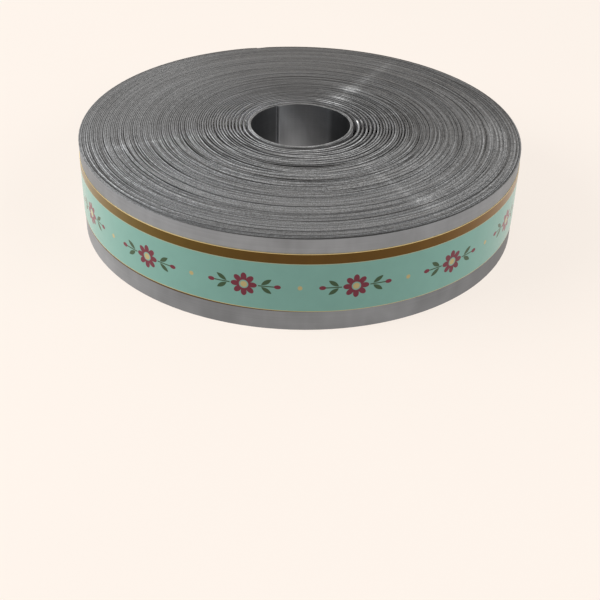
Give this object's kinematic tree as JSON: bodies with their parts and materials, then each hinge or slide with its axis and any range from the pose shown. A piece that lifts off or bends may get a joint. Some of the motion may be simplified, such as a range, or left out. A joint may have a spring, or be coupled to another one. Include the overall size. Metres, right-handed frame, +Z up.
{
  "type": "roll of iron strip",
  "caption": "Flat roll of thin, narrow iron strip wound edge to edge round an open bore, with a printed paper label band round its outer turn.",
  "frame": {"origin": "centre of the bore at the floor the roll lies on", "axes": "+Z up along the bore, X and Y across the roll; the strip's outer end and the label's lap face about +Y"},
  "size_m": [0.0899, 0.0898, 0.0198],
  "materials": {
    "strip_steel": "bare cold-rolled strip, satin, slit edges bright",
    "label_paper": "printed paper, faint sheen"
  },
  "bodies": {
    "root": {"strip_coil": "strip_steel", "label_band": "label_paper"}
  },
  "joints": []
}
